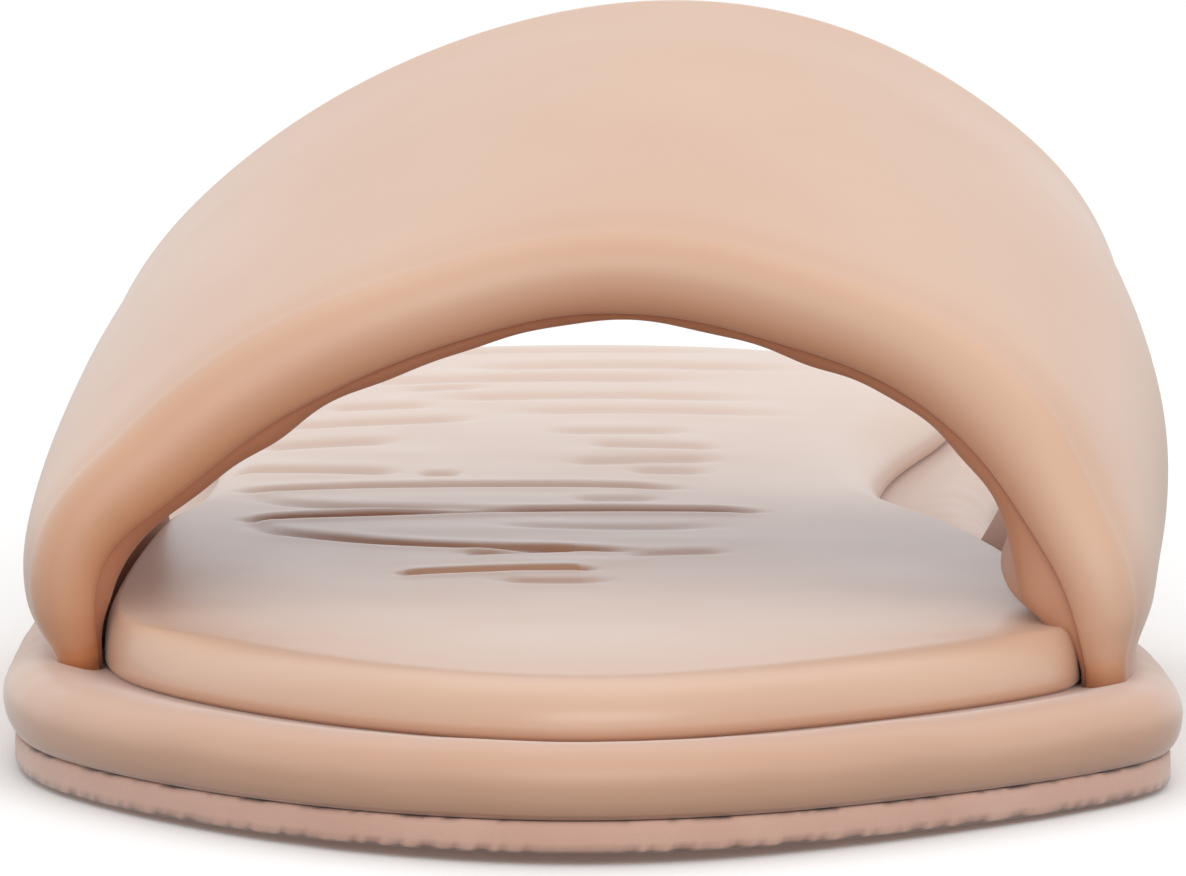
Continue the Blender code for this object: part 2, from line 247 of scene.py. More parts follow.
class Nodes:
    """Short calls for building one material's node tree."""

    # The sockets of Blender's mix node that hold colours
    MIX_COLOURS = (6, 7)
    MIX_RESULT = 2

    def __init__(self, name: str) -> None:
        """Starts a material with its own shader."""
        self.material = bpy.data.materials.new(name)
        self.material.use_nodes = True
        self.tree = self.material.node_tree
        self.shader = self.tree.nodes["Principled BSDF"]
        self.place = self.add("ShaderNodeTexCoord").outputs["Object"]

    def add(self, kind: str, **settings: object) -> bpy.types.Node:
        """Adds a node.

        Args:
            kind: Blender's name for the node.
            settings: properties of the node to set.

        Returns:
            The new node.
        """
        node = self.tree.nodes.new(kind)
        for key, value in settings.items():
            setattr(node, key, value)
        return node

    def link(self, source: Socket, target: Socket) -> None:
        """Joins two sockets."""
        self.tree.links.new(source, target)

    def noise(self, scale: float, detail: float = 3.0, rough: float = 0.5) -> Socket:
        """Adds soft noise over the object's own coordinates.

        Args:
            scale: features in a metre.
            detail: how many finer layers it has.
            rough: how strong the finer layers are.

        Returns:
            The noise, from about 0 to 1.
        """
        node = self.add("ShaderNodeTexNoise")
        node.inputs["Scale"].default_value = scale
        node.inputs["Detail"].default_value = detail
        node.inputs["Roughness"].default_value = rough
        self.link(self.place, node.inputs["Vector"])
        return node.outputs["Fac"]

    def ramp(self, source: Socket, low: float, high: float, out_low: float,
             out_high: float) -> Socket:
        """Maps a range of a value on to another range, clamped.

        Args:
            source: the value.
            low, high: the range it comes from.
            out_low, out_high: the range it goes to.

        Returns:
            The mapped value.
        """
        node = self.add("ShaderNodeMapRange")
        for key, value in (("From Min", low), ("From Max", high),
                           ("To Min", out_low), ("To Max", out_high)):
            node.inputs[key].default_value = value
        self.link(source, node.inputs["Value"])
        return node.outputs["Result"]

    def mix(self, share: Socket, first: object, second: object) -> Socket:
        """Mixes two colours.

        Args:
            share: how much of the second there is.
            first, second: colours or sockets.

        Returns:
            The mixed colour.
        """
        node = self.add("ShaderNodeMix", data_type="RGBA")
        self.link(share, node.inputs["Factor"])
        for key, value in zip(self.MIX_COLOURS, (first, second)):
            if isinstance(value, Socket):
                self.link(value, node.inputs[key])
            else:
                node.inputs[key].default_value = (*value, 1.0)
        return node.outputs[self.MIX_RESULT]

    def attribute(self, name: str) -> Socket:
        """A value stored on the mesh's corners."""
        return self.add("ShaderNodeAttribute", attribute_name=name).outputs["Fac"]

    def bump(self, layers: list[tuple[Socket, float, float]]) -> None:
        """Chains bump layers into the shader's normal.

        Args:
            layers: height, strength and distance of each.
        """
        normal = None
        for height, strength, distance in layers:
            node = self.add("ShaderNodeBump")
            node.inputs["Strength"].default_value = strength
            node.inputs["Distance"].default_value = distance
            self.link(height, node.inputs["Height"])
            if normal is not None:
                self.link(normal, node.inputs["Normal"])
            normal = node.outputs["Normal"]
        self.link(normal, self.shader.inputs["Normal"])

    def clouded_colour(self, cloud: Socket, colours: tuple) -> None:
        """Gives the shader a clouded colour, which turns to another where the mesh stores painted
        shade and dirt.

        Args:
            cloud: how much of the second colour there is.
            colours: the main colour, the second colour and the colour of the painted shade and
                dirt.
        """
        body = self.mix(cloud, *colours[:2])
        self.link(self.mix(self.attribute("shade_and_dirt"), body, colours[2]),
                  self.shader.inputs["Base Color"])

    def patchy_roughness(self, scale: float, middle: float, spread: float) -> None:
        """Lets the shader's roughness drift.

        Args:
            scale: patches in a metre.
            middle: the roughness that it drifts about.
            spread: how far it drifts either way.
        """
        self.link(self.ramp(self.noise(scale), 0.3, 0.7, middle - spread, middle + spread),
                  self.shader.inputs["Roughness"])


@dataclass(frozen=True)
class LeatherFinish:
    """Smooth dyed leather: its colours, gloss and grain."""

    name: str
    colour: Triple
    shaded: Triple
    # colour of the painted shade in seams, folds and under edges
    shade_and_dirt: Triple
    roughness: float
    coat: float
    sheen: float
    coat_roughness: float = 0.48
    sheen_roughness: float = 0.35
    roughness_spread: float = 0.05
    specular: float = 0.5
    blotch_scale: float = 34.0
    blotch_range: Pair = (0.36, 0.66)
    patch_scale: float = 60.0
    wave_scale: float = 190.0
    wave_bump: Pair = (0.10, 0.0006)
    pore_scale: float = 2600.0
    pore_depth: float = 0.0001
    grain: float = 0.10

    def make(self) -> bpy.types.Material:
        """Builds the material.

        Returns:
            The leather, for a mesh that stores its painted shade.
        """
        nodes = Nodes(self.name)
        cloud = nodes.ramp(nodes.noise(self.blotch_scale, 2.0), *self.blotch_range, 0.0, 1.0)
        nodes.clouded_colour(cloud, (self.colour, self.shaded, self.shade_and_dirt))
        nodes.patchy_roughness(self.patch_scale, self.roughness, self.roughness_spread)
        for key, value in (("Specular IOR Level", self.specular), ("Coat Weight", self.coat),
                           ("Coat Roughness", self.coat_roughness), ("Sheen Weight", self.sheen),
                           ("Sheen Roughness", self.sheen_roughness)):
            nodes.shader.inputs[key].default_value = value
        pores = nodes.noise(self.pore_scale, 2.0, 0.6)
        waves = nodes.noise(self.wave_scale, 2.0)
        nodes.bump([(waves, *self.wave_bump), (pores, self.grain, self.pore_depth)])
        return nodes.material


@dataclass(frozen=True)
class RubberFinish:
    """Matte pigmented rubber with a rough, dirty lower edge, which also gets painted shade."""

    name: str
    colour: Triple
    blotch: Triple
    dirt_and_shade: Triple
    roughness: float = 0.78
    roughness_spread: float = 0.08
    specular: float = 0.35
    sheen: float = 0.50
    blotch_scale: float = 90.0
    blotch_range: Pair = (0.35, 0.65)
    patch_scale: float = 300.0
    grit_scale: float = 700.0
    grit_bump: Pair = (0.30, 0.0002)
    pore_scale: float = 2400.0
    pore_bump: Pair = (0.18, 0.0001)

    def make(self) -> bpy.types.Material:
        """Builds the material.

        Returns:
            The rubber, for a mesh that stores where it is dirty and where shade is painted.
        """
        nodes = Nodes(self.name)
        cloud = nodes.ramp(nodes.noise(self.blotch_scale, 4.0), *self.blotch_range, 0.0, 1.0)
        nodes.clouded_colour(cloud, (self.colour, self.blotch, self.dirt_and_shade))
        nodes.patchy_roughness(self.patch_scale, self.roughness, self.roughness_spread)
        nodes.shader.inputs["Specular IOR Level"].default_value = self.specular
        nodes.shader.inputs["Sheen Weight"].default_value = self.sheen
        nodes.bump([(nodes.noise(self.grit_scale, 4.0, 0.65), *self.grit_bump),
                    (nodes.noise(self.pore_scale, 2.0), *self.pore_bump)])
        return nodes.material


STRAP_LEATHER = LeatherFinish("strap_leather", (0.615, 0.375, 0.248), (0.600, 0.355, 0.232),
                              (0.50, 0.190, 0.070), roughness=0.50, coat=0.85, sheen=0.36)
LINING_LEATHER = LeatherFinish("strap_lining", (0.56, 0.285, 0.170), (0.53, 0.265, 0.155),
                               (0.36, 0.120, 0.060), roughness=0.55, coat=0.20, sheen=0.15)
MIDSOLE_LEATHER = LeatherFinish("midsole_leather", (0.570, 0.328, 0.216), (0.555, 0.312, 0.202),
                                (0.34, 0.130, 0.070), roughness=0.50, coat=0.90, sheen=0.62)
FOOTBED_LEATHER = LeatherFinish("footbed_leather", (0.625, 0.395, 0.270), (0.610, 0.375, 0.255),
                                (0.42, 0.190, 0.130), roughness=0.42, coat=1.0,
                                coat_roughness=0.31, sheen=0.20, grain=0.14)
OUTSOLE_RUBBER = RubberFinish("outsole_rubber", (0.660, 0.410, 0.320), (0.620, 0.370, 0.285),
                              (0.130, 0.065, 0.048))


# The sole


class Footprint:
    """The midsole's outline from above, as stations down both sides and a middle line."""

    # along: share of the length, across: share of half the width (inner side positive),
    # ledge: share of the ledge's width that is left outside the pad
    ROWS = (
        ("toe tip", 0.000, -0.015, 1.00),
        ("big toe", 0.013, 0.240, 1.00),
        ("big toe corner", 0.053, 0.535, 1.00),
        ("inner toe side", 0.118, 0.872, 1.00),
        ("inner toe bend", 0.155, 0.982, 1.00),
        ("inner ball, front", 0.187, 1.000, 1.00),
        ("inner ball", 0.255, 0.977, 1.00),
        ("inner ball, back", 0.345, 0.930, 1.00),
        ("inner waist, front", 0.460, 0.824, 1.14),
        ("inner waist", 0.585, 0.742, 1.20),
        ("inner waist, back", 0.710, 0.795, 1.10),
        ("inner heel", 0.840, 0.882, 1.00),
        ("inner heel corner", 0.925, 0.780, 1.00),
        ("heel, inner back", 0.980, 0.455, 1.00),
        ("heel back", 1.000, -0.015, 1.00),
        ("heel, outer back", 0.980, -0.440, 1.00),
        ("outer heel corner", 0.925, -0.745, 1.00),
        ("outer heel", 0.840, -0.868, 1.00),
        ("outer waist", 0.630, -0.880, 1.04),
        ("outer ball, back", 0.440, -0.950, 1.02),
        ("outer ball", 0.270, -1.000, 1.00),
        ("little toe", 0.170, -0.957, 1.00),
        ("outer toe corner", 0.110, -0.800, 1.00),
        ("outer toe", 0.048, -0.530, 1.00),
        ("middle toe", 0.010, -0.240, 1.00),
    )

    PATH_POINTS = 8000
    MIDDLE_CROWDING = 0.25  # how far the stations' spacing is eased halfway along

    def __init__(self, stations: int, middle_stop: float = 0.30) -> None:
        """Reads the outline at evenly eased stations.

        Args:
            stations: how many steps there are from toe to heel.
            middle_stop: how far the middle line stops short of both ends, as a share of the width.
        """
        self.stations = stations
        corners = np.array([(across * SIZES.width / 2, along * SIZES.length, ledge)
                            for _, along, across, ledge in self.ROWS])
        corners = np.vstack([corners, corners[:1]])
        knots = chord_lengths(corners[:, :2])
        path = Spline(corners, knots, closed=True).at(
            np.linspace(0.0, knots[-1], self.PATH_POINTS))
        low, high = path[:, :2].min(axis=0), path[:, :2].max(axis=0)
        path[:, :2] = (path[:, :2] - (low + high) / 2) / (high - low) * (SIZES.width, SIZES.length)
        path = np.roll(path, -path[:, 1].argmin(), axis=0)
        heel = path[:, 1].argmax()
        inner, outer = path[:heel + 1], np.vstack([path[heel:], path[:1]])[::-1]
        y = self._spread(stations)
        sides = [[np.interp(y, side[:, 1], side[:, i]) for i in (0, 2)] for side in (inner, outer)]
        (inner_x, inner_ledge), (outer_x, outer_ledge) = sides
        self.edge = self._both_sides(inner_x, outer_x, y)
        self.ledge = SIZES.ledge_width * self._both_sides(inner_ledge, outer_ledge, y)[:, 0]
        stop = middle_stop * SIZES.width
        middle_y = np.clip(y, SIZES.toe_y + stop, -SIZES.toe_y - stop)
        middle_x = np.interp(middle_y, y, (inner_x + outer_x) / 2)
        self.middle = self._both_sides(middle_x, middle_x, middle_y)

    @classmethod
    def _spread(cls, stations: int) -> Array:
        """Spaces the stations close together at both ends, and evenly between them.

        Args:
            stations: how many steps there are.

        Returns:
            Places along the sandal, from toe to heel.
        """
        even = np.linspace(-1.0, 1.0, stations + 1)
        eased = -np.cos(np.linspace(0.0, np.pi, stations + 1))
        share = cls.MIDDLE_CROWDING + (1 - cls.MIDDLE_CROWDING) * np.abs(even) ** 3
        return (share * eased + (1 - share) * even) * SIZES.length / 2

    @staticmethod
    def _both_sides(inner: Array, outer: Array, y: Array) -> Array:
        """One closed ring: down the inner side from the toe, and back up the outer side."""
        there, back = np.column_stack([inner, y]), np.column_stack([outer, y])
        return np.vstack([there, back[-2:0:-1]])

    def ring(self, inset: float | Array, to_middle: float = 0.0) -> Array:
        """The outline moved inwards, and then part of the way on to the middle line.

        Args:
            inset: metres inwards, one for all corners or one for each.
            to_middle: share of the way from there to the middle line.

        Returns:
            Corners as [station, xy].
        """
        along = np.roll(self.edge, -1, axis=0) - np.roll(self.edge, 1, axis=0)
        inwards = unit(np.column_stack([-along[:, 1], along[:, 0]]))
        moved = self.edge + inwards * np.reshape(inset, (-1, 1))
        return moved * (1 - to_middle) + self.middle * to_middle

    def pad_side_x(self, y: Array, inner: bool) -> Array:
        """Where the strap's foot stands, a seam's width clear of the pad's side.

        Args:
            y: places along the sandal.
            inner: whether this is the foot's inner side.

        Returns:
            The x at each place.
        """
        ring = self.ring(self.ledge - SIZES.seam)
        last = self.stations + 1
        side = ring[:last] if inner else np.roll(ring, -1, axis=0)[:last - 2:-1]
        return np.interp(y, side[:, 1], side[:, 0])


def sole_rings(footprint: Footprint, profile: list[tuple], middle: list[tuple],
               start: float) -> Array:
    """Rings of a layer of the sole.

    Args:
        footprint: the outline to follow.
        profile: (inset, height) from the bottom's edge, up the side, to the top's edge.
        middle: (share of the way to the middle line, rise over the top's edge).
        start: height of the bottom face.

    Returns:
        Corners as [ring, station, xyz].
    """
    flats = [footprint.middle, *(footprint.ring(inset) for inset, _ in profile)]
    heights = [start, *(height for _, height in profile)]
    last, top = profile[-1]
    flats += [footprint.ring(last, share) for share, _ in middle]
    heights += [top + rise for _, rise in middle]
    rings = []
    for flat, height in zip(flats, heights):
        z = np.broadcast_to(height, len(flat)) + SIZES.toe_lift(flat[:, 1])
        rings.append(np.column_stack([flat, z]))
    return np.array(rings)


# Waves round a ring drift by so many radians, every so many waves, and they fade out over so
# many metres at the toe's tip, where a ring starts and ends
WAVE_DRIFT = 2.2
WAVE_DRIFT_LENGTH = 1.7
WAVE_FADE = 0.010


def waviness(ring: Array, waves: tuple[Triple, ...]) -> Array:
    """Small irregularities round a ring.

    Args:
        ring: the ring's corners.
        waves: (wavelength, height, phase) of the waves to add up.

    Returns:
        The height at each corner.
    """
    run = chord_lengths(ring)
    total = sum(height * np.sin(2 * np.pi * run / length + phase
                                + WAVE_DRIFT * np.sin(run / length / WAVE_DRIFT_LENGTH))
                for length, height, phase in waves)
    return total * ease(np.minimum(run, run[-1] - run) / WAVE_FADE)


@dataclass
class OutsolePiece:
    """The rubber sheet, with a cut edge that is scuffed, and painted with shade, where it meets
    the floor.
    """

    inset: float = 0.0010
    chamfer: float = 0.00030
    chamfer_middle: float = 0.4
    under_rim: float = 0.0006
    stations: int = 420
    scuff_deepest: float = -0.00008
    scuff_start: float = 0.55
    scuff_full: float = 0.00016
    rim_dark: float = 0.10

    # (metres further in, share of the sheet's height) up the cut edge from the chamfer
    EDGE = ((0.0, 0.35), (0.0, 0.60), (0.00003, 0.84), (0.00008, 0.93), (0.00018, 1.0))
    SCUFF_WAVES = ((0.0021, 0.00007, 0.3), (0.0009, 0.00006, 1.1), (0.0052, 0.00005, 2.0))
    GLUE_AND_SHADE_WAVES = ((0.011, 0.5, 0.4), (0.0047, 0.4, 2.1), (0.0019, 0.3, 0.0))
    # (ring, share of the scuffs' height)
    SCUFFED = ((3, 0.6), (4, 1.0), (5, 0.25))
    # (ring, darkness everywhere, and what a scuff adds): the darkness everywhere is painted shade
    # under the edge, and what a scuff adds is dirt
    SCUFF_AND_SHADE_DARK = ((2, 0.85, 0.0), (3, 0.20, 0.60), (4, 0.05, 0.40), (5, 0.0, 0.04))
    # (ring, darkness everywhere, what a break in the glue line adds, and where a break starts);
    # the glue line also carries painted shade of the joint with the midsole
    GLUE_AND_SHADE_DARK = ((8, 0.04, 0.20, 0.5), (9, 0.15, 0.80, 0.3))

    def build(self) -> bpy.types.Object:
        """Makes the sheet with its rough lower edge and the dark glue line at its top, which also
        paints the joint's shade.

        Returns:
            The piece, which stands in for the plain outsole.
        """
        top = SIZES.outsole_top
        bevel = self.chamfer_middle * self.chamfer
        profile = [(self.inset + self.chamfer + self.under_rim, 0.0),
                   (self.inset + self.chamfer, 0.0), (self.inset + bevel, bevel),
                   (self.inset, self.chamfer),
                   *((self.inset + deeper, share * top) for deeper, share in self.EDGE)]
        rings = sole_rings(Footprint(self.stations), profile, [(0.4, 0.0), (1.0, 0.0)], 0.0)
        dark = np.zeros(rings.shape[:2])
        rough = waviness(rings[4, :, :2], self.SCUFF_WAVES)
        for ring, share in self.SCUFFED:
            rings[ring, :, 2] += np.clip(rough, self.scuff_deepest, None) * share
        scuffed = ease(self.scuff_start + rough / self.scuff_full)
        # The bottom face is a little darker; the cut edge gets painted shade where it meets the
        # floor, and dirt where it is scuffed
        dark[0:2] = self.rim_dark
        for ring, base, more in self.SCUFF_AND_SHADE_DARK:
            dark[ring] = base + more * scuffed
        # The dark line along the top is glue and painted shade in the joint under the midsole
        broken = waviness(rings[4, :, :2], self.GLUE_AND_SHADE_WAVES)
        for ring, base, more, start in self.GLUE_AND_SHADE_DARK:
            dark[ring] = base + more * ease(start + broken)
        skin = Skin("outsole_sheet", rings, np.clip(dark, 0.0, 1.0))
        piece = skin.build([OUTSOLE_RUBBER.make()], closed_ends=False)
        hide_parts("outsole")
        return piece


@dataclass
class MidsolePiece:
    """The wrapped platform: a puffy round edge whose crest dips towards the pad."""

    waist_height: float = 0.0056
    lower_tuck: float = 0.0016
    upper_roll: float = 0.0038
    crest: float = 0.00875
    valley: float = 0.0081
    valley_inset: float = 0.0084
    stations: int = 300
    steps: int = 14
    valley_steps: int = 8
    seam_shade: float = 0.55
    seam_shade_height: float = 0.0004
    valley_shade: float = 0.2

    RIPPLE_WAVES = ((0.031, 0.00010, 0.4), (0.019, 0.00006, 1.9), (0.0083, 0.00003, 0.2))
    STILL_RINGS = 2  # rings from the bottom that don't ripple

    def build(self) -> bpy.types.Object:
        """Makes the wrapped edge with its crest, valley and slight ripples.

        Returns:
            The piece, which stands in for the plain midsole.
        """
        footprint = Footprint(self.stations)
        profile = []
        for a in np.linspace(np.pi / 2, 0.0, self.steps)[:-1]:
            drop = (self.waist_height - SIZES.midsole_bottom) * np.sin(a)
            profile.append((self.lower_tuck * (1 - np.cos(a)), self.waist_height - drop))
        for a in np.linspace(0.0, np.pi / 2, self.steps):
            rise = (self.crest - self.waist_height) * np.sin(a)
            profile.append((self.upper_roll * (1 - np.cos(a)), self.waist_height + rise))
        for share in np.linspace(0.0, 1.0, self.valley_steps + 1)[1:]:
            inset = self.upper_roll + (self.valley_inset - self.upper_roll) * share
            profile.append((inset, self.crest + (self.valley - self.crest) * ease(share)))
        rings = sole_rings(footprint, profile, [(0.3, 0.0), (0.7, 0.0), (1.0, 0.0)],
                           SIZES.midsole_bottom)
        self._ripple(rings)
        dark = np.zeros(rings.shape[:2])
        # Painted shade at the seam over the outsole and in the valley under the pad's edge
        heights = rings[:, 0, 2] - rings[1, 0, 2]
        dark[heights < self.seam_shade_height] = self.seam_shade
        dark[len(profile) - 1:] = self.valley_shade
        skin = Skin("midsole_wrap", rings, dark)
        piece = skin.build([MIDSOLE_LEATHER.make()], closed_ends=False)
        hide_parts("midsole")
        return piece

    def _ripple(self, rings: Array) -> None:
        """Lets the wrap sink and swell a little as it goes round the sole.

        Args:
            rings: the wrap's corners as [ring, station, xyz], which are moved.
        """
        ripple = waviness(rings[self.steps, :, :2], self.RIPPLE_WAVES)
        span = 2 * self.steps + 3
        for i in range(1, span - 1):
            rings[i + self.STILL_RINGS, :, 2] += ripple * np.sin(np.pi * i / span)


@dataclass(frozen=True)
class Crease:
    """A fold pressed across the pad, in millimetres: where it runs, how deep and how wide."""

    points: tuple[Pair, ...]
    depth: float
    width: float = 0.9
    lip: float = 0.6

    LINE_POINTS = 40
    SHALLOWEST = 0.28
    # How sharply the shallowest fold stops at its tips, and what a millimetre of depth adds
    TIP_SHARPNESS = (3.0, 16.0)
    # Strength at the first tip, and (share of the sharpness, strength) at the last
    FIRST_TIP = 0.3
    LAST_TIP = (0.75, 0.2)
    # (place, width, height) of the raised lips, in widths of the fold
    LIPS = ((2.3, 1.6, 0.50), (-2.1, 1.4, 0.35))
    # (painted shade of a fold of this depth, that depth, power of the depth, share of the width)
    DARK = (0.95, 0.6, 1.7, 0.45)

    def line(self) -> Array:
        """Draws the fold's line.

        Returns:
            Points along it, in order across the pad.
        """
        points = np.array(self.points)
        knots = chord_lengths(points)
        line = Spline(points, knots).at(np.linspace(0.0, knots[-1], self.LINE_POINTS))
        return line[np.argsort(line[:, 0])]

    def fade(self, inside: Array) -> Array:
        """How strong the fold is along its run.

        Args:
            inside: share of the run, less than 0 or more than 1 outside it.

        Returns:
            Strength from 0 to 1.
        """
        least, more = self.TIP_SHARPNESS
        tip = least + more * (self.depth - self.SHALLOWEST)
        share, start = self.LAST_TIP
        return ease(inside * tip + self.FIRST_TIP) * ease((1.0 - inside) * share * tip + start)

    def trough(self, away: Array, slope: Array) -> Array:
        """The fold's section, a groove between two lips that flatten where the fold is steep.

        Args:
            away: distance behind the fold's line.
            slope: how steeply the line runs along the pad there.

        Returns:
            Depth, as a share of the fold's own.
        """
        lips = sum(high * bump_of(away - place * self.width, wide * self.width)
                   for place, wide, high in self.LIPS)
        return bump_of(away, self.width) - self.lip * lips / (1.0 + slope**2)

    def shade(self, away: Array) -> Array:
        """How much painted shade the fold gets at a distance from its line; a deeper fold gets
        more.
        """
        most, depth, power, width = self.DARK
        return most * (self.depth / depth) ** power * bump_of(away, width * self.width)


@dataclass
class FootbedPiece:
    """The padded insole, with the soft folds that its cover shows across the ball and waist."""

    side_roll: float = 0.0055
    side_tuck: float = 0.0006
    stations: int = 620
    side_steps: int = 14
    top_steps: int = 46
    toe_roll_ends: float = 0.026
    side_roll_starts: float = 0.044
    side_roll_share: float = 0.25
    side_roll_ends: float = 0.110
    heel_roll_starts: float = 0.140
    side_fullness: float = 0.88
    edge_shade: float = 0.3
    # the most painted shade that the folds give
    darkest: float = 0.9

    # Each point is (millimetres across, millimetres behind the toe's tip)
    CREASES = (
        Crease(((-30.6, 109.5), (-26.0, 110.6), (-21.5, 111.0), (-10.0, 112.6), (0.0, 113.4),
                (15.5, 113.8)), 0.74, 1.0, 0.8),
        Crease(((-30.4, 108.6), (-28.8, 103.5), (-24.5, 98.0), (-18.8, 93.5), (-9.8, 89.8),
                (4.5, 87.0)), 0.52, 1.0, 0.7),
        Crease(((-31.8, 130.3), (-24.0, 131.2), (-8.0, 131.0), (2.0, 130.6), (8.8, 129.2)),
               0.58, 1.2),
        Crease(((-30.8, 126.5), (-28.0, 121.5), (-22.0, 117.0), (-14.0, 115.0), (-6.0, 114.6)),
               0.38, 1.2, 0.6),
        Crease(((-16.2, 72.6), (-12.0, 73.8), (-7.8, 74.6), (0.4, 75.2)), 0.60, 0.9, 0.8),
        Crease(((-8.0, 68.6), (-3.0, 67.8), (2.2, 68.2)), 0.30, 1.3),
        Crease(((-11.0, 85.4), (-6.0, 86.6), (-1.0, 86.8)), 0.40, 1.2),
        Crease(((3.0, 84.4), (7.6, 86.0), (12.2, 86.8)), 0.34, 1.3),
        Crease(((-8.2, 103.0), (3.2, 101.8), (12.4, 103.6)), 0.30, 1.5),
        Crease(((-1.6, 120.9), (6.8, 121.8)), 0.30, 1.5),
        Crease(((-2.2, 147.2), (5.0, 148.6), (12.4, 150.2)), 0.34, 1.8),
        Crease(((0.0, 160.0), (12.4, 158.8)), 0.36, 1.9),
        Crease(((3.6, 141.2), (11.2, 141.2)), 0.30, 1.7),
        Crease(((-29.0, 176.2), (-20.0, 178.0), (-10.4, 179.4)), 0.36, 1.9),
        Crease(((-30.6, 161.2), (-24.0, 162.6), (-17.6, 163.4)), 0.36, 1.9),
        Crease(((-33.0, 146.5), (-26.0, 144.5), (-17.2, 141.0)), 0.46, 1.7),
        Crease(((-15.4, 139.4), (-11.8, 139.4)), 0.36, 1.4),
        Crease(((-14.0, 195.4), (2.0, 196.8), (17.0, 195.0)), 0.34, 2.1),
        Crease(((-22.0, 208.6), (-8.0, 210.4), (12.0, 209.8)), 0.34, 2.2),
        Crease(((-12.0, 219.0), (6.0, 220.6), (21.0, 219.2)), 0.32, 2.2),
        Crease(((-20.0, 233.0), (0.0, 234.8), (18.0, 233.6)), 0.28, 2.2),
        Crease(((-8.0, 184.4), (8.0, 185.6), (20.0, 184.0)), 0.30, 2.0),
        Crease(((-4.0, 169.4), (10.0, 170.4)), 0.30, 1.9),
        Crease(((-18.0, 202.4), (-13.5, 203.6), (-9.5, 203.2)), 0.28, 1.9),
        Crease(((-25.0, 189.0), (-20.0, 189.8), (-14.4, 190.2)), 0.32, 1.9),
    )

    # (millimetres across, behind the toe, half length, half width, height)
    SWELLS = (
        (-11.0, 100.5, 13.0, 4.6, 0.24),
        (-13.0, 121.5, 13.0, 4.2, 0.20),
        (-3.0, 80.5, 10.0, 3.0, 0.16),
        (5.0, 94.5, 12.0, 3.4, 0.14),
        (4.0, 154.5, 11.0, 4.0, 0.14),
        (-22.0, 155.0, 9.0, 4.0, 0.14),
        (-22.0, 169.5, 9.0, 4.4, 0.14),
    )

    def build(self) -> bpy.types.Object:
        """Makes the pad with its rolled side, crown and folds.

        Returns:
            The piece, which stands in for the plain footbed.
        """
        footprint = Footprint(self.stations)
        ledge = footprint.ledge
        tuck = self.side_tuck
        bottom, height = SIZES.pad_bottom, SIZES.pad_top - SIZES.pad_bottom - tuck
        behind_toe = footprint.edge[:, 1] - SIZES.toe_y
        under_strap = (ease((behind_toe - self.toe_roll_ends)
                            / (self.side_roll_starts - self.toe_roll_ends))
                       * ease((self.heel_roll_starts - behind_toe)
                              / (self.heel_roll_starts - self.side_roll_ends)))
        roll = self.side_roll * (1 - (1 - self.side_roll_share) * under_strap)
        profile = [(ledge + tuck, bottom)]
        for a in np.linspace(0.0, np.pi / 2, self.side_steps):
            profile.append((ledge + roll * (1 - np.cos(a)),
                            bottom + tuck + height * np.sin(a) ** self.side_fullness))
        shares = np.linspace(0.0, 1.0, self.top_steps + 1)[1:]
        middle = [(s, SIZES.pad_crown * (1 - (1 - s) ** 2)) for s in shares]
        rings = sole_rings(footprint, profile, middle, bottom)
        lift, dark = self._folds(rings)
        rings[:, :, 2] += lift
        # Painted shade along the pad's bottom edge, where it meets the wrapped midsole
        dark[0:2] = self.edge_shade
        skin = Skin("footbed_pad", rings, dark)
        piece = skin.build([FOOTBED_LEATHER.make()], closed_ends=False)
        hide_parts("footbed")
        return piece

    def _folds(self, rings: Array) -> tuple[Array, Array]:
        """Height and painted shade that the creases add at every corner.

        Args:
            rings: the pad's corners as [ring, station, xyz].

        Returns:
            Two arrays over the corners: metres up, and how far the colour turns to the painted
                shade.
        """
        flat = rings[:, :, :2] * MM
        flat[..., 1] -= SIZES.toe_y * MM
        height = (rings[:, :, 2] - SIZES.pad_bottom) / (SIZES.pad_top - SIZES.pad_bottom)
        on_top = ease(height * 1.4 - 0.3)  # the folds fade out down the pad's side
        lift, dark = np.zeros(flat.shape[:2]), np.zeros(flat.shape[:2])
        for fold in self.CREASES:
            line = fold.line()
            centre = np.interp(flat[..., 0], line[:, 0], line[:, 1])
            slope = np.interp(flat[..., 0], line[:, 0], np.gradient(line[:, 1], line[:, 0]))
            fade = fold.fade((flat[..., 0] - line[0, 0]) / (line[-1, 0] - line[0, 0]))
            away = (flat[..., 1] - centre) / np.sqrt(1.0 + slope**2)
            lift -= fold.trough(away, slope) * fold.depth * fade / MM
            # painted shade along the fold
            dark += fold.shade(away) * fade
        for across, behind, half_length, half_width, high in self.SWELLS:
            lift += (bump_of(flat[..., 0] - across, half_length)
                     * bump_of(flat[..., 1] - behind, half_width)) * high / MM
        return lift * on_top, np.clip(dark * on_top, 0.0, self.darkest)


# The strap


@dataclass(frozen=True)
class BandRow:
    """One place across the strap: its inner face at both edges, its thickness and its bow."""

    place: str
    front: Triple
    rear: Triple
    thick: float
    bow: float


@dataclass(frozen=True)
class Pucker:
    """A soft swelling of the lining behind the front seam."""

    share: float
    reach: float
    swell: float
    depth_back: float = 6.0
    middle_back: float = 1.5


